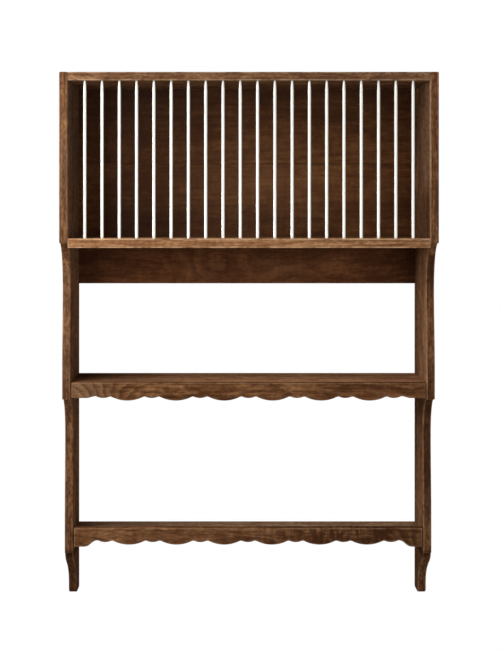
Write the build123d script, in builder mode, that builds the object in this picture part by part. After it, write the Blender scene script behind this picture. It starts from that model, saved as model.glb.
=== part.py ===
from build123d import *
import os

# A wall plate rack: an open box with upright rods over two shelves with scalloped aprons.
# Lengths are millimetres. X runs to the right as seen from the front, Y towards the wall,
# Z up. The origin lies on the wall, midway between the two keyhole hangers.

os.makedirs("parts", exist_ok=True)

# Overall sizes and board thicknesses
overall_width = 800
overall_height = 1148
side_thickness = 18
top_thickness = 18
floor_thickness = 20
back_thickness = 12
rail_thickness = 14
shelf_thickness = 14
apron_thickness = 16

# Heights above the ends of the tails, and drops below the board above
rack_floor_height = 797
mid_shelf_height = 486.5
lower_shelf_height = 148.5
hanger_drop = 48
lower_lip = 15
rail_drop = 85.5

# Depths of the side panels, from the wall to the front edge
rack_depth = 200
upper_neck_depth = 144.5
mid_shelf_depth = 154
lower_neck_depth = 105.5
lower_shelf_depth = 112.5
tail_depth = 44

# Shaping of the side panels' front edge
corner_return = 6
upper_cove_height = 99
mid_corner_drop = 36
mid_cove_height = 80
mid_straight = 23
lower_corner_drop = 54
lower_straight = 4
ogee_depth = 71
ogee_height = 70
tail_straight = 22
tail_round = 10
heel_round = 7
arris = 1.5
board_edge = 0.4
apron_edge = 1.2

# Plate rods
rod_count = 20
rod_end_gap = 35.25
rod_radius = 3.5
rod_setback = 8
rod_taper = 26
rod_waist_radius = 3.1
rod_tip_radius = 2.1
rod_seat = 8
rod_clearance = 0.1

# Scalloped lower edge of the aprons; the mid apron's scallops sit a little lower
apron_gap = 1.5
mid_scallop_drop = 2
scallop_margin = 53
lobe_count = 6
wide_lobe_share = 0.702
cusp_drop = 27
wide_lobe_drop = 36.5
narrow_lobe_drop = 31
mid_end_drop = 33
mid_end_length = 32
lower_end_drop = 41
lower_end_length = 22
cusp_round = 8

# Tongue between the two back boards
tongue_thickness = 4
tongue_height = 6
tongue_clearance = 0.2

# Sides of the many small round pieces and of their holes
small_sides = 8
hidden_sides = 6
plug_sides = 12

# Screws through the sides, each under a wooden plug
screw_inset = 30
rail_screw_inset = 22
shank_radius = 2
shank_length = 45
head_radius = 4
head_height = 3.5
plug_radius = 4.6
plug_depth = 8
fastener_clearance = 0.1

# Dowels between a shelf and its apron
dowel_count = 5
dowel_end_gap = 62
dowel_radius = 3
dowel_in_shelf = 14
dowel_in_apron = 10

# Nails through the back boards
nail_count = 4
nail_end_gap = 52
nail_radius = 1
nail_length = 30
nail_head_radius = 2.2
nail_head_height = 1

# Keyhole hangers let into the back edges of the sides
keyhole_radius = 5
slot_width = 5
slot_rise = 12
pocket_margin = 1
pocket_depth = 9
hanger_rim = 1.5
hanger_land = 10
hanger_thickness = 2
hanger_clearance = 0.1
hanger_screw_radius = 1.5
hanger_screw_length = 14
hanger_head_radius = 2.8
hanger_head_height = 1.3
hanger_head_taper = 45


def even_places(count, end_gap):
    # Places across the cabinet, evenly spaced, with the outer ones at a gap from the sides.
    reach = half_inside - end_gap
    return [reach * (2 * i / (count - 1) - 1) for i in range(count)]


# Levels and places worked out from the sizes above
top_level = hanger_drop
tail_level = top_level - overall_height
top_underside = top_level - top_thickness
floor_level = tail_level + rack_floor_height
floor_underside = floor_level - floor_thickness
rail_bottom = floor_underside - rail_drop
mid_shelf_level = tail_level + mid_shelf_height
lower_shelf_level = tail_level + lower_shelf_height
lower_apron_level = lower_shelf_level + lower_lip
back_joint = (floor_underside + top_level) / 2
half_inside = overall_width / 2 - side_thickness
half_apron = half_inside - apron_gap
scallop_period = 2 * (half_apron - scallop_margin) / (lobe_count + 1 - wide_lobe_share)
wide_lobe = wide_lobe_share * scallop_period
pocket_width = 2 * (keyhole_radius + pocket_margin)
pocket_above = slot_rise + keyhole_radius
pocket_below = keyhole_radius + pocket_margin
hanger_width = pocket_width + 2 * hanger_rim
hanger_above = pocket_above + hanger_land
hanger_below = pocket_below + hanger_land
hanger_screw_levels = (pocket_above + hanger_land / 2, -pocket_below - hanger_land / 2)
rod_places = even_places(rod_count, rod_end_gap)
dowel_places = even_places(dowel_count, dowel_end_gap)
nail_places = even_places(nail_count, nail_end_gap)

# Where the screws enter each end of a board: distance from the wall, and level
top_screws = [
    (back_thickness + screw_inset, top_level - top_thickness / 2),
    (rack_depth - screw_inset, top_level - top_thickness / 2),
]
floor_screws = [
    (back_thickness + screw_inset, floor_level - floor_thickness / 2),
    (rack_depth - screw_inset, floor_level - floor_thickness / 2),
]
rail_screws = [
    (rail_thickness / 2, floor_underside - rail_screw_inset),
    (rail_thickness / 2, rail_bottom + rail_screw_inset),
]
mid_screws = [
    (screw_inset, mid_shelf_level - shelf_thickness / 2),
    (mid_shelf_depth - apron_thickness - screw_inset, mid_shelf_level - shelf_thickness / 2),
]
lower_screws = [
    (screw_inset, lower_shelf_level - shelf_thickness / 2),
    (lower_shelf_depth - apron_thickness - screw_inset, lower_shelf_level - shelf_thickness / 2),
]
side_screws = top_screws + floor_screws + rail_screws + mid_screws + lower_screws


def save(part, name):
    # Label a finished piece and write it to its own file.
    part.label = name
    export_step(part, f"parts/{name}.step")


def end_plane(hand, distance):
    # An upright plane across the cabinet that faces its middle: hand is -1 left, 1 right.
    return Plane(origin=(hand * distance, 0, 0), x_dir=(0, -hand, 0), z_dir=(-hand, 0, 0))


def screw_rounds(hand, places, radius, sides):
    # Draw one round at each screw on such a plane.
    with Locations([(hand * depth, level) for depth, level in places]):
        RegularPolygon(radius, sides)


def screw_pilots(places):
    # Cut the screws' pilot holes in both ends of the board being built.
    for hand in (-1, 1):
        with BuildSketch(end_plane(hand, half_inside)) as pilots:
            screw_rounds(hand, places, shank_radius + fastener_clearance, hidden_sides)
        extrude(pilots.sketch, amount=shank_length - side_thickness + plug_depth, mode=Mode.SUBTRACT)


def nail_pilots(level):
    # Cut the nails' pilot holes in the back edge of the board being built.
    with BuildSketch(Plane.XZ.offset(back_thickness)) as pilots:
        with Locations([(place, level) for place in nail_places]):
            RegularPolygon(nail_radius + fastener_clearance, hidden_sides)
    extrude(pilots.sketch, amount=nail_length - back_thickness + fastener_clearance, mode=Mode.SUBTRACT)


def nail_holes(level):
    # Cut the nails' holes and the seats of their heads through the back board being built.
    for radius, length, sides in (
        (nail_radius, back_thickness, hidden_sides),
        (nail_head_radius, nail_head_height, small_sides),
    ):
        with BuildSketch(Plane.XZ) as holes:
            with Locations([(place, level) for place in nail_places]):
                RegularPolygon(radius + fastener_clearance, sides)
        extrude(holes.sketch, amount=length, mode=Mode.SUBTRACT)


# Outline of a side panel, drawn as depth from the wall and height above the tail's end
mid_corner = mid_shelf_height - mid_corner_drop
mid_foot = mid_corner - mid_cove_height
upper_corner = rack_floor_height - floor_thickness / 2
upper_foot = upper_corner - upper_cove_height
lower_apron_height = lower_shelf_height + lower_lip
lower_corner = lower_apron_height - lower_corner_drop

with BuildSketch() as side_outline:
    with BuildLine():
        Line((0, 0), (tail_depth - tail_round, 0))
        CenterArc((tail_depth - tail_round, tail_round), tail_round, -90, 90)
        Line((tail_depth, tail_round), (tail_depth, tail_straight))
        Spline(
            (tail_depth, tail_straight),
            (ogee_depth, ogee_height),
            (lower_shelf_depth - corner_return, lower_corner),
            tangents=((0, 1), (0, 1)),
            tangent_scalars=(1, 1),
        )
        Line((lower_shelf_depth - corner_return, lower_corner), (lower_shelf_depth, lower_corner))
        Line((lower_shelf_depth, lower_corner), (lower_shelf_depth, lower_apron_height + lower_straight))
        Spline(
            (lower_shelf_depth, lower_apron_height + lower_straight),
            (lower_neck_depth, mid_foot),
            tangents=((0, 1), (0, 1)),
        )
        EllipticalCenterArc(
            (mid_shelf_depth - corner_return, mid_foot),
            mid_shelf_depth - corner_return - lower_neck_depth,
            mid_cove_height,
            start_angle=90,
            arc_size=90,
        )
        Line((mid_shelf_depth - corner_return, mid_corner), (mid_shelf_depth, mid_corner))
        Line((mid_shelf_depth, mid_corner), (mid_shelf_depth, mid_shelf_height + mid_straight))
        Spline(
            (mid_shelf_depth, mid_shelf_height + mid_straight),
            (upper_neck_depth, upper_foot),
            tangents=((0, 1), (0, 1)),
        )
        EllipticalCenterArc(
            (rack_depth - corner_return, upper_foot),
            rack_depth - corner_return - upper_neck_depth,
            upper_cove_height,
            start_angle=90,
            arc_size=90,
        )
        Line((rack_depth - corner_return, upper_corner), (rack_depth, upper_corner))
        Line((rack_depth, upper_corner), (rack_depth, overall_height))
        Line((rack_depth, overall_height), (0, overall_height))
        Line((0, overall_height), (0, 0))
    make_face()


def hanger_plane(hand):
    # The back edge of one side panel at the hanger's level, facing into the wood.
    return Plane(origin=(hand * (half_inside + side_thickness / 2), 0, 0), x_dir=(1, 0, 0), z_dir=(0, -1, 0))


def hanger_screw_rounds(radius):
    # Draw one round at each of a hanger's two screws on that plane.
    with Locations([(0, level) for level in hanger_screw_levels]):
        RegularPolygon(radius, small_sides)


# Side panels, with screw holes, plug seats and a seat for the keyhole hanger
for hand, name in ((-1, "left_side"), (1, "right_side")):
    right_face = half_inside + side_thickness if hand > 0 else -half_inside
    side_plane = Plane(origin=(right_face, 0, tail_level), x_dir=(0, -1, 0), z_dir=(-1, 0, 0))
    with BuildPart() as side:
        with BuildSketch(side_plane):
            add(side_outline.sketch)
        extrude(amount=side_thickness)
        front_edges = side.edges().filter_by(lambda edge: edge.center().Y < -arris)
        front_edges = front_edges.filter_by(lambda edge: edge.length > side_thickness + arris)
        chamfer(front_edges, length=arris)
        with BuildSketch(side_plane):
            Rectangle(heel_round, heel_round, align=(Align.MIN, Align.MIN))
            with Locations((heel_round, heel_round)):
                Circle(heel_round, mode=Mode.SUBTRACT)
        extrude(amount=side_thickness, mode=Mode.SUBTRACT)
        with BuildSketch(end_plane(hand, half_inside + side_thickness)):
            screw_rounds(hand, side_screws, plug_radius, plug_sides)
        extrude(amount=plug_depth, mode=Mode.SUBTRACT)
        with BuildSketch(end_plane(hand, half_inside + side_thickness)):
            screw_rounds(hand, side_screws, shank_radius + fastener_clearance, hidden_sides)
        extrude(amount=side_thickness, mode=Mode.SUBTRACT)
        with BuildSketch(hanger_plane(hand)):
            with Locations((0, (hanger_above - hanger_below) / 2)):
                Rectangle(hanger_width, hanger_above + hanger_below)
        extrude(amount=hanger_thickness, mode=Mode.SUBTRACT)
        with BuildSketch(hanger_plane(hand)):
            with Locations((0, (pocket_above - pocket_below) / 2)):
                Rectangle(pocket_width, pocket_above + pocket_below)
        extrude(amount=pocket_depth, mode=Mode.SUBTRACT)
        with BuildSketch(hanger_plane(hand)):
            hanger_screw_rounds(hanger_screw_radius + hanger_clearance)
        extrude(amount=hanger_screw_length + hanger_clearance, mode=Mode.SUBTRACT)
    save(side.part, name)

# Top board, in front of the back boards, with a row of holes for the tips of the rods
with BuildPart() as top_board:
    with BuildSketch(Plane.XZ.offset(back_thickness)):
        with Locations((0, top_level - top_thickness / 2)):
            Rectangle(2 * half_inside, top_thickness)
    extrude(amount=rack_depth - back_thickness)
    fillet(top_board.faces().sort_by(Axis.Y)[0].edges().filter_by(Axis.X), radius=arris)
    with BuildSketch(Plane.XY.offset(top_underside)):
        with Locations([(place, rod_setback - rack_depth) for place in rod_places]):
            RegularPolygon(rod_tip_radius + rod_clearance, small_sides)
    extrude(amount=rod_seat + rod_clearance, mode=Mode.SUBTRACT)
    screw_pilots(top_screws)
    nail_pilots(top_level - top_thickness / 2)
save(top_board.part, "top_board")

# Floor of the rack, with the matching holes for the feet of the rods
with BuildPart() as rack_floor:
    with BuildSketch(Plane.XZ.offset(back_thickness)):
        with Locations((0, floor_level - floor_thickness / 2)):
            Rectangle(2 * half_inside, floor_thickness)
    extrude(amount=rack_depth - back_thickness)
    fillet(rack_floor.faces().sort_by(Axis.Y)[0].edges().filter_by(Axis.X), radius=arris)
    with BuildSketch(Plane.XY.offset(floor_level)):
        with Locations([(place, rod_setback - rack_depth) for place in rod_places]):
            RegularPolygon(rod_radius + rod_clearance, small_sides)
    extrude(amount=-rod_seat, mode=Mode.SUBTRACT)
    screw_pilots(floor_screws)
    nail_pilots(floor_level - floor_thickness / 2)
save(rack_floor.part, "rack_floor")

# Back of the rack: two wide boards joined by a tongue and groove, nailed to the top and floor
with BuildPart() as back_board_upper:
    with BuildSketch(Plane.XZ):
        with Locations((0, (back_joint + top_level) / 2)):
            Rectangle(2 * half_inside, top_level - back_joint)
    extrude(amount=back_thickness)
    fillet(back_board_upper.faces().sort_by(Axis.Z)[0].edges().filter_by(Axis.X), radius=board_edge)
    with BuildSketch(Plane.YZ.offset(-half_inside)):
        with Locations((-back_thickness / 2, back_joint + (tongue_height + tongue_clearance) / 2)):
            Rectangle(tongue_thickness + 2 * tongue_clearance, tongue_height + tongue_clearance)
    extrude(amount=2 * half_inside, mode=Mode.SUBTRACT)
    nail_holes(top_level - top_thickness / 2)
save(back_board_upper.part, "back_board_upper")

with BuildPart() as back_board_lower:
    with BuildSketch(Plane.XZ):
        with Locations((0, (floor_underside + back_joint) / 2)):
            Rectangle(2 * half_inside, back_joint - floor_underside)
    extrude(amount=back_thickness)
    fillet(back_board_lower.faces().sort_by(Axis.Z)[-1].edges().filter_by(Axis.X), radius=board_edge)
    with BuildSketch(Plane.YZ.offset(-half_inside)):
        with Locations((-back_thickness / 2, back_joint + (tongue_height - board_edge) / 2)):
            Rectangle(tongue_thickness, tongue_height + board_edge)
    extrude(amount=2 * half_inside)
    nail_holes(floor_level - floor_thickness / 2)
save(back_board_lower.part, "back_board_lower")

# Nails, their heads flush with the back boards
with BuildPart() as back_nails:
    nail_levels = (top_level - top_thickness / 2, floor_level - floor_thickness / 2)
    with BuildSketch(Plane.XZ):
        with Locations([(place, level) for place in nail_places for level in nail_levels]):
            RegularPolygon(nail_head_radius, small_sides)
    extrude(amount=nail_head_height)
    with BuildSketch(Plane.XZ.offset(nail_head_height)):
        with Locations([(place, level) for place in nail_places for level in nail_levels]):
            RegularPolygon(nail_radius, hidden_sides)
    extrude(amount=nail_length - nail_head_height)
save(back_nails.part, "back_nails")

# Rail against the wall, below the rack
with BuildPart() as hanging_rail:
    with BuildSketch(Plane.XZ):
        with Locations((0, (floor_underside + rail_bottom) / 2)):
            Rectangle(2 * half_inside, rail_drop)
    extrude(amount=rail_thickness)
    fillet(hanging_rail.faces().sort_by(Axis.Z)[0].edges().filter_by(Axis.X).sort_by(Axis.Y)[0], radius=arris)
    screw_pilots(rail_screws)
save(hanging_rail.part, "hanging_rail")

# Upright rods: the foot stands in the floor, the upper end tapers to a tip held in the top board
rod_sections = [
    (floor_level - rod_seat, rod_radius),
    (top_underside - rod_taper, rod_radius),
    (top_underside - rod_taper / 2, rod_waist_radius),
    (top_underside, rod_tip_radius),
    (top_underside + rod_seat, rod_tip_radius),
]
for number, place in enumerate(rod_places, start=1):
    with BuildPart() as rod:
        for level, radius in rod_sections:
            with BuildSketch(Plane(origin=(place, rod_setback - rack_depth, level))):
                RegularPolygon(radius, small_sides)
        loft(ruled=True)
    save(rod.part, f"rod_{number:02d}")


def apron_outline(level, scallop_level, end_drop, end_length):
    # Draw an apron's face: wide and narrow lobes by turns, with a flat block at each end.
    lobe_half = wide_lobe / 2
    centres = [(i - (lobe_count - 1) / 2) * scallop_period for i in range(lobe_count)]
    outermost = centres[-1] + scallop_period - lobe_half
    cusp = scallop_level - cusp_drop
    for middle in centres:
        left = (middle - lobe_half, cusp)
        right = (middle + lobe_half, cusp)
        ThreePointArc(left, (middle, scallop_level - wide_lobe_drop), right)
    for middle in [centres[0] - scallop_period / 2] + [place + scallop_period / 2 for place in centres]:
        left = (middle - scallop_period / 2 + lobe_half, cusp)
        right = (middle + scallop_period / 2 - lobe_half, cusp)
        ThreePointArc(left, (middle, scallop_level - narrow_lobe_drop), right)
    for hand in (-1, 1):
        block = half_apron - end_length
        Spline((hand * outermost, cusp), (hand * block, level - end_drop), tangents=((hand, 0), (hand, 0)))
        Line((hand * block, level - end_drop), (hand * half_apron, level - end_drop))
        Line((hand * half_apron, level - end_drop), (hand * half_apron, level))
    Line((-half_apron, level), (half_apron, level))


# Shelves and their aprons, dowelled together edge to edge
for name, level, depth, apron_level, scallop_level, end_drop, end_length, screws in (
    (
        "mid",
        mid_shelf_level,
        mid_shelf_depth,
        mid_shelf_level,
        mid_shelf_level - mid_scallop_drop,
        mid_end_drop,
        mid_end_length,
        mid_screws,
    ),
    (
        "lower",
        lower_shelf_level,
        lower_shelf_depth,
        lower_apron_level,
        lower_apron_level,
        lower_end_drop,
        lower_end_length,
        lower_screws,
    ),
):
    board_depth = depth - apron_thickness
    dowel_level = level - shelf_thickness / 2
    with BuildPart() as shelf:
        with BuildSketch(Plane.XZ):
            with Locations((0, dowel_level)):
                Rectangle(2 * half_inside, shelf_thickness)
        extrude(amount=board_depth)
        with BuildSketch(Plane.XZ.offset(board_depth)):
            with Locations([(place, dowel_level) for place in dowel_places]):
                RegularPolygon(dowel_radius + fastener_clearance, hidden_sides)
        extrude(amount=-dowel_in_shelf - fastener_clearance, mode=Mode.SUBTRACT)
        screw_pilots(screws)
    save(shelf.part, f"{name}_shelf")

    with BuildPart() as apron:
        with BuildSketch(Plane.XZ.offset(board_depth)) as face:
            with BuildLine():
                apron_outline(apron_level, scallop_level, end_drop, end_length)
            make_face()
            cusps = face.vertices().filter_by(lambda point: abs(point.Y - scallop_level + cusp_drop) < arris)
            fillet(cusps, radius=cusp_round)
        extrude(amount=apron_thickness)
        front = apron.faces().sort_by(Axis.Y)[0]
        chamfer(front.edges(), length=apron_edge)
        with BuildSketch(Plane.XZ.offset(board_depth)):
            with Locations([(place, dowel_level) for place in dowel_places]):
                RegularPolygon(dowel_radius + fastener_clearance, hidden_sides)
        extrude(amount=dowel_in_apron + fastener_clearance, mode=Mode.SUBTRACT)
    save(apron.part, f"{name}_apron")

    with BuildPart() as dowels:
        with BuildSketch(Plane.XZ.offset(board_depth - dowel_in_shelf)):
            with Locations([(place, dowel_level) for place in dowel_places]):
                RegularPolygon(dowel_radius, hidden_sides)
        extrude(amount=dowel_in_shelf + dowel_in_apron)
    save(dowels.part, f"{name}_dowels")

# Screws that hold the boards between the sides, and the plugs that cover their heads
for hand, name in ((-1, "left"), (1, "right")):
    outer_face = end_plane(hand, half_inside + side_thickness)
    with BuildPart() as screws:
        with BuildSketch(outer_face.offset(plug_depth - head_height)):
            screw_rounds(hand, side_screws, head_radius, hidden_sides)
        extrude(amount=head_height)
        with BuildSketch(outer_face.offset(plug_depth)):
            screw_rounds(hand, side_screws, shank_radius, hidden_sides)
        extrude(amount=shank_length)
    save(screws.part, f"{name}_side_screws")

    with BuildPart() as plugs:
        with BuildSketch(outer_face):
            screw_rounds(hand, side_screws, plug_radius - fastener_clearance, plug_sides)
        extrude(amount=plug_depth - head_height)
    save(plugs.part, f"{name}_side_plugs")

    with BuildPart() as hanger:
        with BuildSketch(hanger_plane(hand)):
            with Locations((0, (hanger_above - hanger_below) / 2)):
                Rectangle(hanger_width - 2 * hanger_clearance, hanger_above + hanger_below - 2 * hanger_clearance)
            Circle(keyhole_radius, mode=Mode.SUBTRACT)
            with Locations((0, slot_rise / 2)):
                Rectangle(slot_width, slot_rise, mode=Mode.SUBTRACT)
            with Locations((0, slot_rise)):
                Circle(slot_width / 2, mode=Mode.SUBTRACT)
        extrude(amount=hanger_thickness)
        with BuildSketch(hanger_plane(hand)):
            hanger_screw_rounds(hanger_screw_radius + hanger_clearance)
        extrude(amount=hanger_thickness, mode=Mode.SUBTRACT)
        seats = hanger.faces().sort_by(Axis.Y)[-1].edges()
        chamfer(seats.filter_by(lambda edge: edge.length < hanger_screw_radius), length=hanger_head_height)
    save(hanger.part, f"{name}_hanger")

# Countersunk screws of both hangers
with BuildPart() as hanger_screws:
    for hand in (-1, 1):
        with BuildSketch(hanger_plane(hand)):
            hanger_screw_rounds(hanger_screw_radius)
        extrude(amount=hanger_screw_length)
        with BuildSketch(hanger_plane(hand)):
            hanger_screw_rounds(hanger_head_radius)
        extrude(amount=hanger_head_height, taper=hanger_head_taper)
save(hanger_screws.part, "hanger_screws")
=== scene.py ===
import math

import bmesh
import bpy
from mathutils import Matrix, Vector


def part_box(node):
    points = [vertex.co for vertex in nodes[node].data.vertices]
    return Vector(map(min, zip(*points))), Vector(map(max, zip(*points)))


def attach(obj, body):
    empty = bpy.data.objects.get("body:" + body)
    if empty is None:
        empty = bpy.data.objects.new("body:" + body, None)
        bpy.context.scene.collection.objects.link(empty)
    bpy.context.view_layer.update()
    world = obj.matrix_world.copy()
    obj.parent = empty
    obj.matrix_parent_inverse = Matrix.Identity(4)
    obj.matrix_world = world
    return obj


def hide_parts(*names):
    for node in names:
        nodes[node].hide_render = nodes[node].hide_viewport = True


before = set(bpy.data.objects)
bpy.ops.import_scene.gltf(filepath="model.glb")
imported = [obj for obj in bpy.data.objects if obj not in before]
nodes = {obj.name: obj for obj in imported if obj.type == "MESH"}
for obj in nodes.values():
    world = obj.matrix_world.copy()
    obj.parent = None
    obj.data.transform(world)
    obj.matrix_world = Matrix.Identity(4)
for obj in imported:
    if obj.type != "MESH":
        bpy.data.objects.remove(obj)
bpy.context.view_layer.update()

# A wall plate rack, in metres: every CAD node gets a material or a finer piece in its place.

print("rack loaded:", len(nodes), "nodes")


# Small helpers for shader trees

def linear(hexColour):
    # a colour as it looks, such as "8d6545", in the values that a shader takes
    channels = [int(hexColour[i:i + 2], 16) / 255 for i in (0, 2, 4)]
    return [c / 12.92 if c <= 0.04045 else ((c + 0.055) / 1.055) ** 2.4 for c in channels] + [1.0]


def place(tree, kind, options, inputs):
    # one node with its options set, and its inputs linked or filled in
    node = tree.nodes.new(kind)
    for option, value in options.items():
        setattr(node, option, value)
    for label, value in inputs.items():
        if isinstance(value, bpy.types.NodeSocket):
            tree.links.new(value, node.inputs[label])
        else:
            node.inputs[label].default_value = value
    return node


def sums(tree, operation, first, second=0.0, third=0.0):
    # one step of arithmetic on numbers or sockets
    inputs = {0: first, 1: second, 2: third}
    return place(tree, "ShaderNodeMath", {"operation": operation}, inputs).outputs[0]


def ramp(tree, value, low, high, toLow=0.0, toHigh=1.0):
    # a soft step from toLow to toHigh as value goes from low to high
    inputs = {"Value": value, "From Min": low, "From Max": high, "To Min": toLow, "To Max": toHigh}
    return place(tree, "ShaderNodeMapRange", {"interpolation_type": "SMOOTHSTEP"}, inputs).outputs[0]


def blend(tree, factor, first, second, way="MIX"):
    # two colours mixed, or multiplied where way says so
    options = {"data_type": "RGBA", "blend_type": way}
    return place(tree, "ShaderNodeMix", options, {0: factor, 6: first, 7: second}).outputs[2]


def noise(tree, vector, scale, detail=3.0, roughness=0.55):
    inputs = {"Vector": vector, "Scale": scale, "Detail": detail, "Roughness": roughness}
    return place(tree, "ShaderNodeTexNoise", {}, inputs).outputs["Fac"]


def stretched(tree, vector, stretch):
    return place(tree, "ShaderNodeMapping", {}, {"Vector": vector, "Scale": stretch}).outputs[0]


def newGroup(name, inputs, outputs):
    # an empty shader group; inputs are (label, kind, value), outputs are labels of numbers
    group = bpy.data.node_groups.new(name, "ShaderNodeTree")
    for label, kind, value in inputs:
        socket = group.interface.new_socket(label, in_out="INPUT", socket_type="NodeSocket" + kind)
        if value is not None:
            socket.default_value = value
    for label in outputs:
        group.interface.new_socket(label, in_out="OUTPUT", socket_type="NodeSocketFloat")
    given = group.nodes.new("NodeGroupInput").outputs
    result = group.nodes.new("NodeGroupOutput").inputs
    return group, given, result


def useGroup(tree, group, inputs):
    return place(tree, "ShaderNodeGroup", {"node_tree": group}, inputs).outputs


def newMaterial(name):
    material = bpy.data.materials.new(name)
    material.use_nodes = True
    material.node_tree.nodes.clear()
    return material, material.node_tree


def finishMaterial(tree, values):
    # the shader with its values, and the surface that it gives
    shader = place(tree, "ShaderNodeBsdfPrincipled", {}, values)
    place(tree, "ShaderNodeOutputMaterial", {}, {"Surface": shader.outputs[0]})


# Shared effects: growth rings, fibres and pores, figure, knots, and worn edges that are also a painted
# highlight

ringShape = {
    "slow": {"stretch": (1.0, 3.0, 3.0), "scale": 3.0, "detail": 2.0},
    "fine": {"stretch": (1.0, 4.0, 4.0), "scale": 16.0, "detail": 3.0},
    "fineShare": 0.3,
    "latewood": (0.15, 0.85),
    "yearEnd": (0.86, 1.0),
}


def growthRings():
    # rings round a pith that runs along X; the vector is in metres
    group, given, result = newGroup(
        "growthRings",
        [
            ("Vector", "Vector", None), ("Spacing", "Float", 0.008),
            ("Wobble", "Float", 0.01), ("Swell", "Float", 0.0),
        ],
        ["Ring", "Tint"],
    )
    wander = {}
    for name in ("slow", "fine"):
        own = ringShape[name]
        vector = stretched(group, given["Vector"], own["stretch"])
        wander[name] = noise(group, vector, own["scale"], own["detail"])
    share = ringShape["fineShare"]
    slow = sums(group, "SUBTRACT", wander["slow"], 0.5)
    drift = sums(group, "ADD", slow, sums(group, "MULTIPLY_ADD", wander["fine"], share, -share / 2))

    axes = place(group, "ShaderNodeSeparateXYZ", {}, {0: given["Vector"]}).outputs
    depth = sums(group, "MULTIPLY", axes[1], axes[1])
    height = sums(group, "MULTIPLY", axes[2], axes[2])
    distance = sums(group, "SQRT", sums(group, "ADD", depth, height))
    radius = sums(group, "MULTIPLY_ADD", drift, given["Wobble"], distance)
    years = sums(group, "DIVIDE", sums(group, "ADD", radius, given["Swell"]), given["Spacing"])

    part = sums(group, "FRACT", years)
    darker = ramp(group, part, *ringShape["latewood"])
    ending = ramp(group, part, *ringShape["yearEnd"], 1.0, 0.0)
    year = place(group, "ShaderNodeTexWhiteNoise", {"noise_dimensions": "1D"}, {
        "W": sums(group, "FLOOR", years),
    })
    group.links.new(sums(group, "MULTIPLY", darker, ending), result["Ring"])
    group.links.new(year.outputs["Value"], result["Tint"])
    return group


fibreShape = {
    "Streak": {"stretch": (4.0, 190.0, 190.0), "detail": 4.0, "roughness": 0.6, "from": 0.3, "to": 0.7},
    "Pore": {"stretch": (75.0, 1500.0, 1500.0), "detail": 1.0, "roughness": 0.55, "to": 0.74},
    "Fleck": {"stretch": (22.0, 420.0, 420.0), "detail": 2.0, "roughness": 0.55, "from": 0.42, "to": 0.72},
    "Speck": {"stretch": (95.0, 290.0, 290.0), "detail": 2.0, "roughness": 0.55, "from": 0.38, "to": 0.66},
}


def woodFibre():
    # long soft streaks, short dark pores and the specks between them; the grain runs along X
    group, given, result = newGroup(
        "woodFibre", [("Vector", "Vector", None), ("Pore Share", "Float", 0.6)], list(fibreShape),
    )
    for label, own in fibreShape.items():
        vector = stretched(group, given["Vector"], own["stretch"])
        strands = noise(group, vector, 1.0, own["detail"], own["roughness"])
        low = given["Pore Share"] if label == "Pore" else own["from"]
        group.links.new(ramp(group, strands, low, own["to"]), result[label])
    return group


figureShape = {
    "Patch": {
        "stretch": (1.0, 2.0, 2.0), "scale": 11.0, "detail": 4.0, "roughness": 0.6, "range": (0.36, 0.64),
    },
    "Figure": {
        "stretch": (1.0, 4.5, 4.5), "scale": 30.0, "detail": 4.0, "roughness": 0.62, "range": (0.32, 0.68),
    },
    "Curl": {
        "stretch": (7.0, 2.0, 2.0), "scale": 15.0, "detail": 3.0, "roughness": 0.6, "range": (0.38, 0.62),
    },
}
grainBend = {"scale": 9.0, "detail": 1.0, "reach": (0.0, 0.03, 0.03)}


def woodFigure():
    # cloudy patches, and wavy figure and curly stripes that follow bent grain
    group, given, result = newGroup("woodFigure", [("Vector", "Vector", None)], list(figureShape))
    pull = place(group, "ShaderNodeTexNoise", {}, {
        "Vector": given["Vector"], "Scale": grainBend["scale"], "Detail": grainBend["detail"],
    })
    bent = place(group, "ShaderNodeVectorMath", {"operation": "MULTIPLY_ADD"}, {
        0: pull.outputs["Color"], 1: grainBend["reach"], 2: given["Vector"],
    })
    for label, own in figureShape.items():
        vector = given["Vector"] if label == "Patch" else bent.outputs[0]
        vector = stretched(group, vector, own["stretch"])
        cloud = noise(group, vector, own["scale"], own["detail"], own["roughness"])
        group.links.new(ramp(group, cloud, *own["range"]), result[label])
    return group


knotShape = {"flat": (0.55, 1.0, 1.0), "core": (0.2, 0.75)}


def woodKnot():
    # one knot: Swell pushes the rings round it and Core is its dark heart
    group, given, result = newGroup(
        "woodKnot",
        [("Vector", "Vector", None), ("Centre", "Vector", (0.0, 0.0, 0.0)), ("Radius", "Float", 0.01)],
        ["Swell", "Core"],
    )
    away = place(group, "ShaderNodeVectorMath", {"operation": "SUBTRACT"}, {
        0: given["Vector"], 1: given["Centre"],
    })
    flat = stretched(group, away.outputs[0], knotShape["flat"])
    far = place(group, "ShaderNodeVectorMath", {"operation": "LENGTH"}, {0: flat}).outputs["Value"]
    steps = sums(group, "DIVIDE", far, given["Radius"])
    squared = sums(group, "MULTIPLY", steps, steps)
    group.links.new(sums(group, "EXPONENT", sums(group, "MULTIPLY", squared, -0.5)), result["Swell"])
    group.links.new(ramp(group, steps, *knotShape["core"], 1.0, 0.0), result["Core"])
    return group


wearAndHighlightShape = {"scale": 34.0, "detail": 5.0, "roughness": 0.65, "range": (0.34, 0.62)}


def edgeWearAndHighlight():
    # where the stain is rubbed thin: on the eased corners, in uneven patches; the paler corners are also a
    # painted highlight along the arrises
    group, given, result = newGroup(
        "edgeWearAndHighlight",
        [("Vector", "Vector", None), ("Edge", "Float", 0.0), ("Amount", "Float", 0.6)],
        ["Worn"],
    )
    cloud = noise(group, given["Vector"], wearAndHighlightShape["scale"], wearAndHighlightShape["detail"], wearAndHighlightShape["roughness"])
    rubbed = sums(group, "MULTIPLY", given["Edge"], given["Amount"])
    patches = ramp(group, cloud, *wearAndHighlightShape["range"])
    group.links.new(sums(group, "MULTIPLY", rubbed, patches), result["Worn"])
    return group


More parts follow.
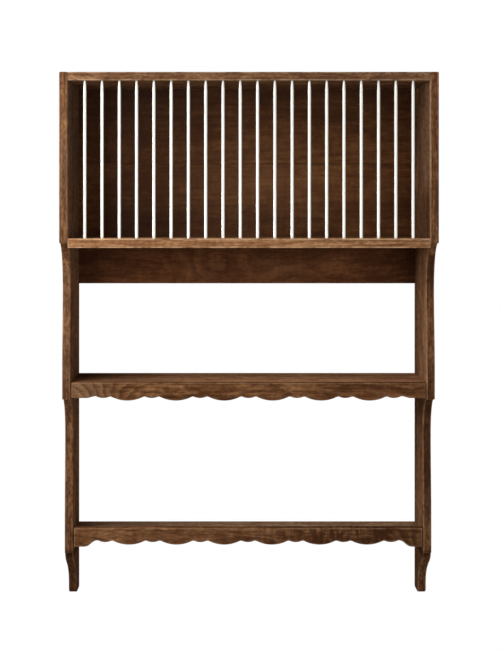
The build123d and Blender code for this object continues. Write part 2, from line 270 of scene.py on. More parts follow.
rings = growthRings()
fibre = woodFibre()
figured = woodFigure()
knot = woodKnot()
wearAndHighlight = edgeWearAndHighlight()


# The stained wood of the boards, with painted light and shade

# A knot is a centre, a radius, its push on the rings and its dark heart. A pale, darker or curly spot
# is a centre, a radius and a strength; pale spots are paler figure on the rail and painted light elsewhere,
# darker spots are painted shadow. An end is a strength and the slopes that it grows along, each an axis,
# a start and an end; pale ends are painted light and dark ends painted shade.
stain = {
    "light": "ab7c55",
    "middle": "774f32",
    "red": "5e3722",
    "dark": "472b19",
    "pore": "2e1b10",
    # the worn colour: of rubbed edges and painted highlights, and of painted light
    "wornAndLit": "ad8969",
    "tone": (1.0, 1.0, 1.0),
    "spacing": 0.011,
    "wobble": 0.03,
    "ringStrength": 0.4,
    "ringTint": 0.6,
    "figure": 0.6,
    "soft": 0.3,
    "mottle": 0.6,
    "curl": 0.2,
    "flecks": 0.25,
    "specks": 0.25,
    "pores": 0.55,
    "pith": (0.0, 0.055, 0.01),
    "lean": (0.0, 0.012, 0.02),
    "upright": False,
    "knots": (),
    # pale spots: paler figure, and painted pools of light
    "paleFigureAndPaintedLight": (),
    # darker spots: painted shadows
    "darker": (),
    "curly": (),
    # painted light over the ends and bands that it names
    "paintedLightEnds": (),
    # painted shade over the ends and bands that it names
    "paintedShadeEnds": (),
    # how pale the eased edges are rubbed: partly real wear, partly a painted highlight
    "wornAndLitEdges": 0.7,
    "roughness": 0.64,
    "dulling": {"streak": 0.1, "wornAndLit": -0.12, "pore": 0.2},
    "relief": {"streak": 0.35, "ring": 0.4, "pore": -0.9, "strength": 0.45, "distance": 0.0004},
    "sheen": 0.04,
}


def spots(tree, here, places):
    # how far a point lies inside soft round spots
    total = 0.0
    for centre, radius, strength in places:
        inside = useGroup(tree, knot, {"Vector": here, "Centre": centre, "Radius": radius})["Swell"]
        total = sums(tree, "MULTIPLY_ADD", inside, strength, total)
    return total


def fades(tree, here, ends):
    # how far a point lies into soft ends
    axes = place(tree, "ShaderNodeSeparateXYZ", {}, {0: here}).outputs
    total = 0.0
    for strength, *slopes in ends:
        inside = strength
        for axis, start, end in slopes:
            inside = sums(tree, "MULTIPLY", ramp(tree, axes[axis], start, end), inside)
        total = sums(tree, "ADD", inside, total)
    return total


def woodMaterial(name, changes):
    # the stain with its own choice of colours, rings and knots for one board, and its painted light and
    # shade
    own = {**stain, **changes}
    material, tree = newMaterial(name)
    here = tree.nodes.new("ShaderNodeTexCoord").outputs["Object"]
    turn = (0.0, math.pi / 2 if own["upright"] else 0.0, 0.0)
    along = place(tree, "ShaderNodeMapping", {}, {"Vector": here, "Rotation": turn}).outputs[0]
    log = place(tree, "ShaderNodeMapping", {}, {
        "Vector": along, "Location": own["pith"], "Rotation": own["lean"],
    }).outputs[0]
    swell, core = 0.0, 0.0
    for centre, radius, push, heart in own["knots"]:
        eye = useGroup(tree, knot, {"Vector": here, "Centre": centre, "Radius": radius})
        swell = sums(tree, "MULTIPLY_ADD", eye["Swell"], push, swell)
        core = sums(tree, "MULTIPLY_ADD", eye["Core"], heart, core)
    ring = useGroup(tree, rings, {
        "Vector": log, "Spacing": own["spacing"], "Wobble": own["wobble"], "Swell": swell,
    })
    grain = useGroup(tree, fibre, {"Vector": along})
    cloud = useGroup(tree, figured, {"Vector": log})
    edge = place(tree, "ShaderNodeAttribute", {"attribute_name": "easedEdge"}, {}).outputs["Fac"]
    wornAndLit = useGroup(tree, wearAndHighlight, {"Vector": here, "Edge": edge, "Amount": own["wornAndLitEdges"]})["Worn"]

    def darkened(colour, mask, strength, shade):
        # the colour with a share of a darker one where the mask says
        factor = sums(tree, "MULTIPLY", mask, strength)
        return blend(tree, factor, colour, linear(own[shade]))

    straight = sums(tree, "MULTIPLY", grain["Streak"], 1.0 - own["figure"])
    mixed = sums(tree, "MULTIPLY_ADD", cloud["Figure"], own["figure"], straight)
    mixed = ramp(tree, mixed, 0.5 - own["soft"], 0.5 + own["soft"])
    colour = blend(tree, mixed, linear(own["middle"]), linear(own["light"]))
    colour = darkened(colour, cloud["Patch"], own["mottle"], "red")
    # painted light: the pale ends and spots lighten towards the worn colour; on the rail the pale spots are
    # figure
    pale = sums(tree, "ADD", spots(tree, here, own["paleFigureAndPaintedLight"]), fades(tree, here, own["paintedLightEnds"]))
    colour = blend(tree, pale, colour, linear(own["wornAndLit"]))
    depth = sums(tree, "MULTIPLY_ADD", ring["Tint"], own["ringTint"], 1.0 - own["ringTint"])
    colour = darkened(colour, sums(tree, "MULTIPLY", ring["Ring"], depth), own["ringStrength"], "dark")
    curl = sums(tree, "ADD", spots(tree, here, own["curly"]), own["curl"])
    colour = darkened(colour, cloud["Curl"], curl, "dark")
    colour = darkened(colour, grain["Fleck"], own["flecks"], "dark")
    colour = darkened(colour, grain["Speck"], own["specks"], "pore")
    colour = darkened(colour, grain["Pore"], own["pores"], "pore")
    colour = blend(tree, core, colour, linear(own["pore"]))
    # painted shade: the darker spots and dark ends darken towards the pore colour
    paintedShade = sums(tree, "ADD", spots(tree, here, own["darker"]), fades(tree, here, own["paintedShadeEnds"]))
    colour = blend(tree, paintedShade, colour, linear(own["pore"]))
    # rubbed edges, partly real wear and partly a painted highlight along the arrises
    colour = blend(tree, wornAndLit, colour, linear(own["wornAndLit"]))
    colour = blend(tree, 1.0, colour, [*own["tone"], 1.0], "MULTIPLY")

    dulling, relief = own["dulling"], own["relief"]
    dull = sums(tree, "MULTIPLY_ADD", grain["Streak"], dulling["streak"], own["roughness"])
    dull = sums(tree, "MULTIPLY_ADD", wornAndLit, dulling["wornAndLit"], dull)
    dull = sums(tree, "MULTIPLY_ADD", grain["Pore"], dulling["pore"], dull)
    height = sums(tree, "MULTIPLY", ring["Ring"], relief["ring"])
    height = sums(tree, "MULTIPLY_ADD", grain["Streak"], relief["streak"], height)
    height = sums(tree, "MULTIPLY_ADD", grain["Pore"], relief["pore"], height)
    bump = place(tree, "ShaderNodeBump", {}, {
        "Height": height, "Strength": relief["strength"], "Distance": relief["distance"],
    })
    finishMaterial(tree, {
        "Base Color": colour, "Roughness": dull, "Normal": bump.outputs[0],
        "Specular IOR Level": own["sheen"],
    })
    return material


# Boards cut square: top, floor, rail and shelves

mergeWithin = 1e-6  # points nearer than this are one point


def mergedShape(node, flatWithin=0.0):
    # a copy of a CAD node's mesh as one skin; triangles that lie as flat as flatWithin degrees are joined
    shape = bmesh.new()
    shape.from_mesh(nodes[node].data)
    bmesh.ops.remove_doubles(shape, verts=shape.verts, dist=mergeWithin)
    if flatWithin:
        angle = math.radians(flatWithin)
        bmesh.ops.dissolve_limit(shape, angle_limit=angle, verts=shape.verts, edges=shape.edges)
    return shape


def easeEdges(shape, edges, offset, segments):
    bmesh.ops.bevel(
        shape, geom=edges, offset=offset, offset_type="OFFSET",
        affect="EDGES", segments=segments, profile=0.5, material=-1, clamp_overlap=True,
    )


def finishMesh(name, shape, material, replaced, softAngle):
    # write the shape to a new object that rides on the rack, smooth but for edges sharper than softAngle
    mesh = bpy.data.meshes.new(name)
    shape.to_mesh(mesh)
    shape.free()
    mesh.shade_smooth()
    mesh.set_sharp_from_angle(angle=math.radians(softAngle))
    mesh.materials.append(material)
    piece = bpy.data.objects.new(name, mesh)
    bpy.context.scene.collection.objects.link(piece)
    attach(piece, "root")
    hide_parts(replaced)


# how far the normal of an eased edge's face leans on one axis
slantedFace = {"least": 0.1, "most": 0.97}


def markWearAndHighlight(shape, plain, axis, width):
    # full wear and painted highlight on the slanted faces beside the plain ones, fading over a rim inside
    # the plain ones
    shape.normal_update()
    least, most = slantedFace["least"], slantedFace["most"]
    slanted = [face for face in shape.faces if least < abs(face.normal[axis]) < most]
    rim = bmesh.ops.inset_region(
        shape, faces=plain, thickness=width, use_even_offset=True, use_boundary=True,
    )["faces"]
    inner = {vert for face in plain for vert in face.verts}
    layer = shape.loops.layers.float.new("easedEdge")
    for face in slanted:
        for corner in face.loops:
            corner[layer] = 1.0
    for face in rim:
        for corner in face.loops:
            corner[layer] = 0.0 if corner.vert in inner else 1.0
    shape.normal_update()


squareCut = {"segments": 3, "softAngle": 25, "facing": -0.99}


def squareBoard(node, settings):
    # a board as large as the node, its long edges eased
    low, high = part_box(node)
    size = [high[i] - low[i] for i in range(3)]
    middle = [(high[i] + low[i]) / 2 for i in range(3)]
    shape = bmesh.new()
    bmesh.ops.create_cube(shape, size=1.0)
    bmesh.ops.scale(shape, vec=size, verts=shape.verts)
    bmesh.ops.translate(shape, vec=middle, verts=shape.verts)
    lengthwise = [edge for edge in shape.edges if edge.verts[0].co.x != edge.verts[1].co.x]
    easeEdges(shape, lengthwise, settings["ease"], squareCut["segments"])
    front = [face for face in shape.faces if face.normal.y < squareCut["facing"]]
    markWearAndHighlight(shape, front, settings["thin"], settings["rim"])
    wood = woodMaterial(node + "Wood", settings["wood"])
    finishMesh(node + "Board", shape, wood, node, squareCut["softAngle"])


# For each board: how far its edges are eased, the axis of its thickness, the width of the worn and
# highlighted rim on its front, and how its wood differs from the stain above, painted light and shade
# included.
boards = {
    "top_board": {
        "ease": 0.0012, "thin": 2, "rim": 0.0022,
        "wood": {
            "pith": (0.3, 0.13, -0.03), "spacing": 0.009, "figure": 0.4, "specks": 0.5,
            "tone": (1.13, 1.23, 1.33),
        },
    },
    "rack_floor": {
        "ease": 0.0014, "thin": 2, "rim": 0.0025,
        "wood": {
            "pith": (1.1, 0.16, 0.36), "spacing": 0.008, "mottle": 0.4, "figure": 0.3, "specks": 0.35,
            "sheen": 0.0, "tone": (1.76, 1.88, 1.93),
        },
    },
    "hanging_rail": {
        "ease": 0.0012, "thin": 1, "rim": 0.002,
        "wood": {
            "pith": (2.3, 0.06, 0.37), "ringStrength": 0.45, "soft": 0.7, "flecks": 0.1,
            # the darker, redder tone stands partly for the wood and partly for painted shade under the box
            "pore": "30211a", "tone": (0.59, 0.46, 0.38),
            "knots": (
                ((-0.075, -0.014, -0.365), 0.03, 0.035, 0.0), ((0.1, -0.014, -0.385), 0.035, 0.02, 0.0),
            ),
            # paler curls of figure
            "paleFigureAndPaintedLight": (
                ((-0.1, -0.014, -0.375), 0.022, 0.25), ((0.06, -0.014, -0.376), 0.022, 0.3),
                ((0.13, -0.014, -0.355), 0.04, 0.15),
            ),
            # painted shade towards both ends, beside the sides
            "paintedShadeEnds": ((0.4, (0, -0.2, -0.39)), (0.4, (0, 0.2, 0.39))),
        },
    },
    "mid_shelf": {
        "ease": 0.00015, "thin": 2, "rim": 0.002,
        "wood": {
            "pith": (3.2, 0.3, 0.75), "spacing": 0.008, "figure": 0.4, "sheen": 0.0,
            # the greyer, lighter stain and tone of the top stand partly for the wood and partly for a
            # painted sheen
            "light": "b08d6c", "middle": "83654a", "red": "6b4c36", "tone": (1.65, 1.42, 1.28),
            # painted shadow of the left side at the back left, and painted light along the front
            "darker": (((-0.37, -0.04, -0.62), 0.09, 0.85),), "paintedLightEnds": ((0.35, (1, -0.07, -0.14)),),
        },
    },
    "lower_shelf": {
        "ease": 0.00015, "thin": 2, "rim": 0.002,
        "wood": {
            "pith": (4.2, 0.3, 1.2), "spacing": 0.008, "figure": 0.4, "sheen": 0.0,
            # the greyer, lighter stain and tone of the top stand partly for the wood and partly for a
            # painted sheen
            "light": "b08d6c", "middle": "83654a", "red": "6b4c36", "tone": (1.85, 1.9, 2.0),
            # painted shadow of the left side at the back left, and painted light along the front
            "darker": (((-0.37, -0.03, -0.95), 0.08, 0.6),), "paintedLightEnds": ((0.15, (1, -0.05, -0.1)),),
        },
    },
}
for node, settings in boards.items():
    squareBoard(node, settings)
print("square boards cut")


# Shaped boards: the back, the sides and the scalloped aprons, from their CAD outlines

# Degrees and metres. An edge is eased where it is an arris along the front, or turns sharply and is long.
# The front of a side is its whole curved edge, and the front of the others is flat.
outline = {
    "flat": 0.4, "arris": (35, 55), "sharp": 60, "long": 0.15, "curved": -0.3, "facing": -0.99,
    "sideways": 0.05, "segments": 1, "softAngle": 20,
}


def shapedBoard(node, settings):
    shape = mergedShape(node, outline["flat"])
    least, most = outline["arris"]
    eased = []
    for edge in shape.edges:
        if not edge.is_manifold:
            continue
        turn = math.degrees(edge.calc_face_angle())
        arris = least < turn < most and min(vert.co.y for vert in edge.verts) < settings["frontOf"]
        if arris or (turn > outline["sharp"] and edge.calc_length() > outline["long"]):
            eased.append(edge)
    easeEdges(shape, eased, settings["ease"], outline["segments"])
    shape.normal_update()
    facing = outline["curved" if settings["thin"] == 0 else "facing"]
    front = [
        face for face in shape.faces
        if face.normal.y < facing and abs(face.normal.x) < outline["sideways"]
    ]
    markWearAndHighlight(shape, front, settings["thin"], settings["rim"])
    wood = woodMaterial(node + "Wood", settings["wood"])
    finishMesh(node + "Board", shape, wood, node, outline["softAngle"])


# As for the square boards, with how far forward an arris has to lie to be eased.
shaped = {
    "back_board_upper": {
        "thin": 1, "ease": 0.0003, "rim": 0.001, "frontOf": -0.011,
        "wood": {
            "pith": (5.1, 0.07, 0.08), "mottle": 0.7, "ringStrength": 0.25, "figure": 0.55, "soft": 0.75,
            # the darker, redder tone stands partly for the wood and partly for painted shade inside the box
            "flecks": 0.1, "specks": 0.15, "wornAndLitEdges": 0.3, "pore": "382822", "tone": (0.7, 0.585, 0.47),
            # painted light pool in the middle; painted shade to its left, towards the left end, along the
            # top and in the top corners
            "paleFigureAndPaintedLight": (((0.03, -0.012, -0.18), 0.08, 0.3),),
            "darker": (((-0.2, -0.012, -0.14), 0.09, 0.35),),
            "paintedShadeEnds": (
                (0.2, (0, -0.05, -0.3)), (0.45, (2, -0.13, -0.01)),
                (0.25, (2, -0.02, 0.03), (0, -0.37, -0.25), (0, 0.38, 0.25)),
            ),
        },
    },
    "back_board_lower": {
        "thin": 1, "ease": 0.0003, "rim": 0.001, "frontOf": -0.011,
        "wood": {
            "pith": (6.4, 0.08, 0.3), "mottle": 0.7, "ringStrength": 0.25, "figure": 0.55, "soft": 0.75,
            # the darker, redder tone stands partly for the wood and partly for painted shade inside the box
            "flecks": 0.1, "specks": 0.15, "wornAndLitEdges": 0.3, "pore": "382822", "tone": (0.7, 0.585, 0.47),
            # painted light pool in the middle; painted shade to its left, towards the left end and along
            # the bottom
            "paleFigureAndPaintedLight": (((0.03, -0.012, -0.19), 0.07, 0.35),),
            "darker": (((-0.2, -0.012, -0.18), 0.09, 0.35),),
            "paintedShadeEnds": (
                (0.2, (0, -0.05, -0.3)), (0.45, (2, -0.19, -0.27), (0, 0.28, 0.15), (0, -0.37, -0.25)),
                (0.4, (2, -0.15, -0.19), (0, 0.28, 0.37)),
            ),
        },
    },
    "left_side": {
        "thin": 0, "ease": 0.0005, "rim": 0.002, "frontOf": -0.02,
        "wood": {
            "upright": True, "pith": (0.4, 0.25, 0.33), "specks": 0.5, "soft": 0.25, "figure": 0.35,
            "mottle": 0.45, "wornAndLitEdges": 0.25, "sheen": 0.0, "tone": (0.96, 0.95, 0.98),
            # painted shade: the tail, the upper inner face, a band down the middle and the shadow under the
            # lower step
            "paintedShadeEnds": (
                (0.55, (2, -0.96, -1.02)), (0.25, (2, -0.4, -0.1), (0, -0.39, -0.3835)),
                (0.1, (2, -0.8, -0.73), (2, -0.6, -0.66)),
                (0.45, (0, -0.4, -0.3985), (2, -0.982, -0.99), (2, -1.008, -0.998)),
            ),
            # a painted pale spot of light high on the front
            "paleFigureAndPaintedLight": (((-0.392, -0.2, -0.15), 0.065, 0.15),),
            # painted light on the inner face, in bands below the rack
            "paintedLightEnds": (
                (0.5, (0, -0.385, -0.3825), (2, -0.36, -0.3)),
                (0.2, (2, -0.34, -0.4), (2, -0.63, -0.6), (0, -0.383, -0.386)),
                (0.25, (2, -0.45, -0.38), (2, -0.305, -0.325), (0, -0.383, -0.3825)),
            ),
        },
    },
    "right_side": {
        "thin": 0, "ease": 0.0005, "rim": 0.002, "frontOf": -0.02,
        "wood": {
            "upright": True, "pith": (1.7, 0.22, -0.46), "specks": 0.5, "soft": 0.25, "figure": 0.45,
            "wornAndLitEdges": 0.3, "sheen": 0.0, "tone": (1.15, 1.12, 1.12),
            # painted shade: darker lower down and at the tail, bands on the front under the rack and the
            # shelves, the shadow under the lower step, and bands on the inner face under the rack floor and
            # the mid shelf
            "paintedShadeEnds": (
                (0.2, (2, -0.5, -0.7)), (0.25, (2, -0.98, -1.03)),
                (0.25, (0, 0.4, 0.3985), (2, -0.18, -0.24), (2, -0.345, -0.3)),
                (0.45, (0, 0.4, 0.3985), (2, -0.982, -0.99), (2, -1.008, -0.998)),
                (0.75, (0, 0.4, 0.3985), (0, 0.384, 0.386), (2, -0.46, -0.4), (2, -0.33, -0.345)),
                (0.55, (0, 0.4, 0.3985), (0, 0.384, 0.386), (2, -0.54, -0.59), (2, -0.69, -0.65)),
                (0.5, (0, 0.4, 0.3985), (0, 0.383, 0.385), (2, -0.65, -0.68), (2, -1.02, -0.88)),
                (0.3, (0, 0.385, 0.3825), (2, -0.43, -0.36), (2, -0.31, -0.325)),
                (0.3, (0, 0.385, 0.3825), (2, -0.74, -0.66), (2, -0.63, -0.65)),
            ),
            # painted light on the inner face, strongest near its front edge
            "paintedLightEnds": (
                (0.3, (0, 0.385, 0.3825)), (0.5, (0, 0.385, 0.3825), (1, -0.09, -0.19), (2, -0.33, -0.36)),
                (1.0, (0, 0.385, 0.3825), (1, -0.08, -0.16), (2, -0.23, -0.14)),
            ),
        },
    },
    "mid_apron": {
        "thin": 1, "ease": 0.0004, "rim": 0.002, "frontOf": -0.13,
        "wood": {
            "pith": (7.3, 0.2, 0.66), "mottle": 0.45, "ringStrength": 0.7, "wornAndLitEdges": 0.4,
            "sheen": 0.0, "tone": (0.9, 0.86, 0.82),
            "knots": (
                ((-0.408, -0.154, -0.663), 0.046, 0.12, 0.0), ((0.12, -0.154, -0.66), 0.03, 0.03, 0.2),
            ),
            # painted light towards the left end
            "paintedLightEnds": ((0.6, (0, -0.26, -0.36)),),
        },
    },
    "lower_apron": {
        "thin": 1, "ease": 0.0004, "rim": 0.002, "frontOf": -0.1,
        "wood": {
            "pith": (8.6, 0.15, 0.98), "mottle": 0.5, "ringStrength": 0.7, "soft": 0.25, "wornAndLitEdges": 0.4,
            "sheen": 0.0, "tone": (1.12, 1.1, 1.08),
            "knots": (
                ((-0.19, -0.11, -0.985), 0.03, 0.03, 0.3), ((0.245, -0.112, -0.985), 0.04, 0.1, 0.0),
            ),
            "curly": (((0.22, -0.112, -0.96), 0.06, 0.7),),
            # painted shade growing towards the right
            "paintedShadeEnds": ((0.5, (0, -0.2, 0.33)),),
        },
    },
}
for node, settings in shaped.items():
    shapedBoard(node, settings)
print("shaped boards cut")


# White rods, turned round

# The foot is given as shares of the rounding's height and of the radius, from below, and the head as
# shares of the taper's height, measured down from its top, and of the radius.
rodShape = {
    "steps": 24, "softAngle": 40, "slim": 0.97, "hidden": 0.0075, "rounding": 0.0012, "taper": 0.026,
    "foot": ((0.25, 0.9), (1.0, 0.97), (3.0, 1.0)),
    "head": ((1.0, 1.0), (0.75, 0.97), (0.5, 0.9), (0.25, 0.78), (0.0, 0.6)),
}

lacquer = {
    "colour": "fbf8ef", "shadow": "f1ece0", "poreShare": 0.66, "grain": 0.12,
    "clouds": {"scale": 30.0, "detail": 3.0, "range": (0.35, 0.75), "strength": 0.2},
    "roughness": 0.25, "uneven": 0.12,
    "relief": {"pore": -0.5, "strength": 0.15, "distance": 0.0003},
    "gloss": {"Specular IOR Level": 1.0, "Coat Weight": 1.0, "Coat Roughness": 0.15, "Coat IOR": 1.6},
}


def lacquerMaterial():
    # white lacquer, with the faint ghost of the grain and of the brush under it
    material, tree = newMaterial("whiteLacquer")
    clouds, relief = lacquer["clouds"], lacquer["relief"]
    here = tree.nodes.new("ShaderNodeTexCoord").outputs["Object"]
    turn = (0.0, math.pi / 2, 0.0)
    upright = place(tree, "ShaderNodeMapping", {}, {"Vector": here, "Rotation": turn}).outputs[0]
    grain = useGroup(tree, fibre, {"Vector": upright, "Pore Share": lacquer["poreShare"]})
    cloud = ramp(tree, noise(tree, here, clouds["scale"], clouds["detail"]), *clouds["range"])
    clouded = sums(tree, "MULTIPLY", cloud, clouds["strength"])
    faint = sums(tree, "MULTIPLY_ADD", grain["Fleck"], lacquer["grain"], clouded)
    bump = place(tree, "ShaderNodeBump", {}, {
        "Height": sums(tree, "MULTIPLY_ADD", grain["Pore"], relief["pore"], grain["Streak"]),
        "Strength": relief["strength"], "Distance": relief["distance"],
    })
    finishMaterial(tree, {
        "Base Color": blend(tree, faint, linear(lacquer["colour"]), linear(lacquer["shadow"])),
        "Roughness": sums(tree, "MULTIPLY_ADD", cloud, lacquer["uneven"], lacquer["roughness"]),
        "Normal": bump.outputs[0], **lacquer["gloss"],
    })
    return material


def turned(profile, steps, x=0.0, y=0.0):
    # a solid turned round an upright axis at x, y, from points of radius and height
    shape = bmesh.new()
    points = [shape.verts.new((x + out, y, height)) for out, height in profile]
    edges = [shape.edges.new(pair) for pair in zip(points, points[1:])]
    bmesh.ops.spin(
        shape, geom=points + edges, cent=(x, y, 0.0), axis=(0.0, 0.0, 1.0),
        angle=math.tau, steps=steps, use_merge=True,
    )
    bmesh.ops.remove_doubles(shape, verts=shape.verts, dist=mergeWithin)
    bmesh.ops.recalc_face_normals(shape, faces=shape.faces)
    return shape


def turnedRod(node, material):
    # the ends that the boards hide are thinner than the holes that they stand in
    low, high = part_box(node)
    radius = (high[1] - low[1]) / 2 * rodShape["slim"]
    foot = low[2] + rodShape["hidden"]
    head = high[2] - rodShape["hidden"]
    seen = [(radius * wide, foot + rodShape["rounding"] * share) for share, wide in rodShape["foot"]]
    seen += [(radius * wide, head - rodShape["taper"] * share) for share, wide in rodShape["head"]]
    profile = [(0.0, low[2]), (seen[0][0], low[2]), *seen, (seen[-1][0], high[2]), (0.0, high[2])]
    shape = turned(profile, rodShape["steps"], (low[0] + high[0]) / 2, (low[1] + high[1]) / 2)
    finishMesh(node + "Turned", shape, material, node, rodShape["softAngle"])


whiteLacquer = lacquerMaterial()
rodNodes = sorted(name for name in nodes if name.startswith("rod_"))
for node in rodNodes:
    turnedRod(node, whiteLacquer)
print("rods turned:", len(rodNodes))


# Fittings: plugs, hangers, screws and nails

# The roughness of lines and spots is what they add to the metal's own.
zinc = {
    "kinds": {
        "zincPlate": {"colour": "a3a5a8", "roughness": 0.25},
        "dullZinc": {"colour": "8f8f8d", "roughness": 0.35},
    },
    "lines": {"stretch": (900.0, 900.0, 30.0), "detail": 2.0, "roughness": 0.15},
    "spots": {
        "colour": "6d6a66", "scale": 220.0, "detail": 4.0, "range": (0.4, 0.7), "strength": 0.5,
        "roughness": 0.2,
    },
    "bump": {"Strength": 0.2, "Distance": 0.0001},
}


def zincMaterial(name):
    # zinc on steel: rolling lines, and cloudy spots where it has gone dull
    material, tree = newMaterial(name)
    own, lines, spots = zinc["kinds"][name], zinc["lines"], zinc["spots"]
    here = tree.nodes.new("ShaderNodeTexCoord").outputs["Object"]
    lined = noise(tree, stretched(tree, here, lines["stretch"]), 1.0, lines["detail"])
    cloud = ramp(tree, noise(tree, here, spots["scale"], spots["detail"]), *spots["range"])
    spotted = sums(tree, "MULTIPLY", cloud, spots["strength"])
    dull = sums(tree, "MULTIPLY_ADD", lined, lines["roughness"], own["roughness"])
    bump = place(tree, "ShaderNodeBump", {}, {"Height": lined, **zinc["bump"]})
    finishMaterial(tree, {
        "Base Color": blend(tree, spotted, linear(own["colour"]), linear(spots["colour"])),
        "Roughness": sums(tree, "MULTIPLY_ADD", cloud, spots["roughness"], dull),
        "Metallic": 1.0, "Normal": bump.outputs[0],
    })
    return material


def solidsOf(node):
    # the lowest and highest corner of each separate solid in a CAD node
    shape = mergedShape(node)
    waiting = set(shape.verts)
    corners = []
    for vert in shape.verts:
        if vert not in waiting:
            continue
        waiting.discard(vert)
        reached = [vert]
        for known in reached:
            for edge in known.link_edges:
                other = edge.other_vert(known)
                if other in waiting:
                    waiting.discard(other)
                    reached.append(other)
        spans = list(zip(*(each.co for each in reached)))
        corners.append([[pick(span) for span in spans] for pick in (min, max)])
    shape.free()
    return sorted(corners)


def setOut(single, node, outward):
    # one copy of the turned solid in each solid of the node, its top at the outward end
    pattern = bpy.data.meshes.new("pattern")
    single.to_mesh(pattern)
    single.free()
    shape = bmesh.new()
    facing = Vector(outward).to_track_quat("Z", "Y").to_matrix().to_4x4()
    for low, high in solidsOf(node):
        known = len(shape.verts)
        shape.from_mesh(pattern)
        shape.verts.ensure_lookup_table()
        top = [(start + end + way * (end - start)) / 2 for start, end, way in zip(low, high, outward)]
        bmesh.ops.transform(shape, matrix=Matrix.Translation(top) @ facing, verts=shape.verts[known:])
    bpy.data.meshes.remove(pattern)
    return shape


plug = {
    "radius": 0.00442, "length": 0.0044, "rim": 0.0003, "corner": 0.3, "steps": 32, "softAngle": 50,
}

plugWood = woodMaterial("plugWood", {
    "upright": True, "pith": (9.7, 0.02, 0.03), "spacing": 0.0022, "wobble": 0.006, "ringStrength": 0.6,
    "sheen": 0.0, "tone": (0.9, 0.88, 0.85),
})


def plugsIn(node, outward):
    wide, rim, foot = plug["radius"], plug["rim"], -plug["length"]
    corner = plug["corner"] * rim
    profile = [
        (0.0, foot), (wide - rim, foot), (wide, foot + rim),
        (wide, -rim), (wide - corner, -corner), (wide - rim, 0.0), (0.0, 0.0),
    ]
    shape = setOut(turned(profile, plug["steps"]), node, outward)
    finishMesh(node + "Turned", shape, plugWood, node, plug["softAngle"])


plugsIn("left_side_plugs", (-1, 0, 0))
plugsIn("right_side_plugs", (1, 0, 0))

zincPlate = zincMaterial("zincPlate")
dullZinc = zincMaterial("dullZinc")

# The head is given as shares of its height, measured down from the top, and of its radius.
nail = {
    "length": 0.03, "shank": 0.00094, "point": 0.004, "radius": 0.0021, "height": 0.001, "neck": 1.2,
    "head": ((1.0, 0.9), (0.8, 1.0), (0.25, 1.0), (0.05, 0.92), (0.0, 0.6)),
    "steps": 20, "softAngle": 40,
}


def nailsIn(node, outward):
    thick, foot, height = nail["shank"], -nail["length"], nail["height"]
    profile = [(0.0, foot), (thick, foot + nail["point"]), (thick, -nail["neck"] * height)]
    profile += [(nail["radius"] * wide, -height * share) for share, wide in nail["head"]]
    profile += [(0.0, 0.0)]
    shape = setOut(turned(profile, nail["steps"]), node, outward)
    finishMesh(node + "Turned", shape, dullZinc, node, nail["softAngle"])


nailsIn("back_nails", (0, 1, 0))

plateScrew = {
    "length": 0.014, "point": 0.002, "root": 0.001, "crest": 0.00138, "pitch": 0.0011, "turns": 8,
    "head": 0.0027, "headHeight": 0.0013, "land": 0.0002, "flat": 0.95,
    "crossReach": 0.0018, "crossHalf": 0.00028, "crossDepth": 0.0008, "crossSlope": 0.4,
    "steps": 24, "softAngle": 30,
}


def crossRecess(shape):
    # sink a cross into the flat top of a screw's head
    top = [face for face in shape.faces if face.normal.z > 0.99 and face.calc_center_median().z > -1e-6]
    cap = bmesh.ops.dissolve_faces(shape, faces=top)["region"]
    rim = plateScrew["head"] * plateScrew["flat"] - plateScrew["crossReach"]
    bmesh.ops.inset_region(shape, faces=cap, thickness=rim)
    half = plateScrew["crossHalf"]
    for across in (Vector((1, 0, 0)), Vector((0, 1, 0))):
        for side in (-half, half):
            inner = [face for face in cap if face.is_valid]
            geom = list({item for face in inner for item in (face, *face.edges, *face.verts)})
            cut = bmesh.ops.bisect_plane(shape, geom=geom, plane_co=across * side, plane_no=across)["geom"]
            cap = [item for item in cut if isinstance(item, bmesh.types.BMFace)]
    middles = {face: face.calc_center_median() for face in cap}
    arms = [face for face, middle in middles.items() if min(abs(middle.x), abs(middle.y)) < half]
    slope = half * plateScrew["crossSlope"]
    bmesh.ops.inset_region(shape, faces=arms, thickness=slope, depth=-plateScrew["crossDepth"])


def screwsIn(node, outward):
    # the thread is a row of rings, which at this size looks as a helix does
    root, crest, pitch = plateScrew["root"], plateScrew["crest"], plateScrew["pitch"]
    wide, land = plateScrew["head"], plateScrew["land"]
    start = plateScrew["point"] - plateScrew["length"]
    profile = [(0.0, -plateScrew["length"])]
    for turn in range(plateScrew["turns"]):
        profile += [(root, start + turn * pitch), (crest, start + (turn + 0.5) * pitch)]
    profile += [
        (root, start + plateScrew["turns"] * pitch), (root, -plateScrew["headHeight"] - land),
        (wide, -land), (wide * plateScrew["flat"], 0.0), (0.0, 0.0),
    ]
    single = turned(profile, plateScrew["steps"])
    crossRecess(single)
    shape = setOut(single, node, outward)
    finishMesh(node + "Turned", shape, dullZinc, node, plateScrew["softAngle"])


screwsIn("hanger_screws", (0, 1, 0))

hanger = {"ease": 0.0003, "segments": 2, "sharp": 80, "outerFrom": -1e-5, "softAngle": 35}


def easedPlate(node):
    # the hanger's own outline and keyhole, with the edges that a stamped plate has on its outer face
    shape = mergedShape(node, outline["flat"])
    outer = [edge for edge in shape.edges if min(vert.co.y for vert in edge.verts) > hanger["outerFrom"]]
    sharp = [
        edge for edge in outer
        if edge.is_manifold and math.degrees(edge.calc_face_angle()) > hanger["sharp"]
    ]
    easeEdges(shape, sharp, hanger["ease"], hanger["segments"])
    finishMesh(node + "Eased", shape, zincPlate, node, hanger["softAngle"])


easedPlate("left_hanger")
easedPlate("right_hanger")

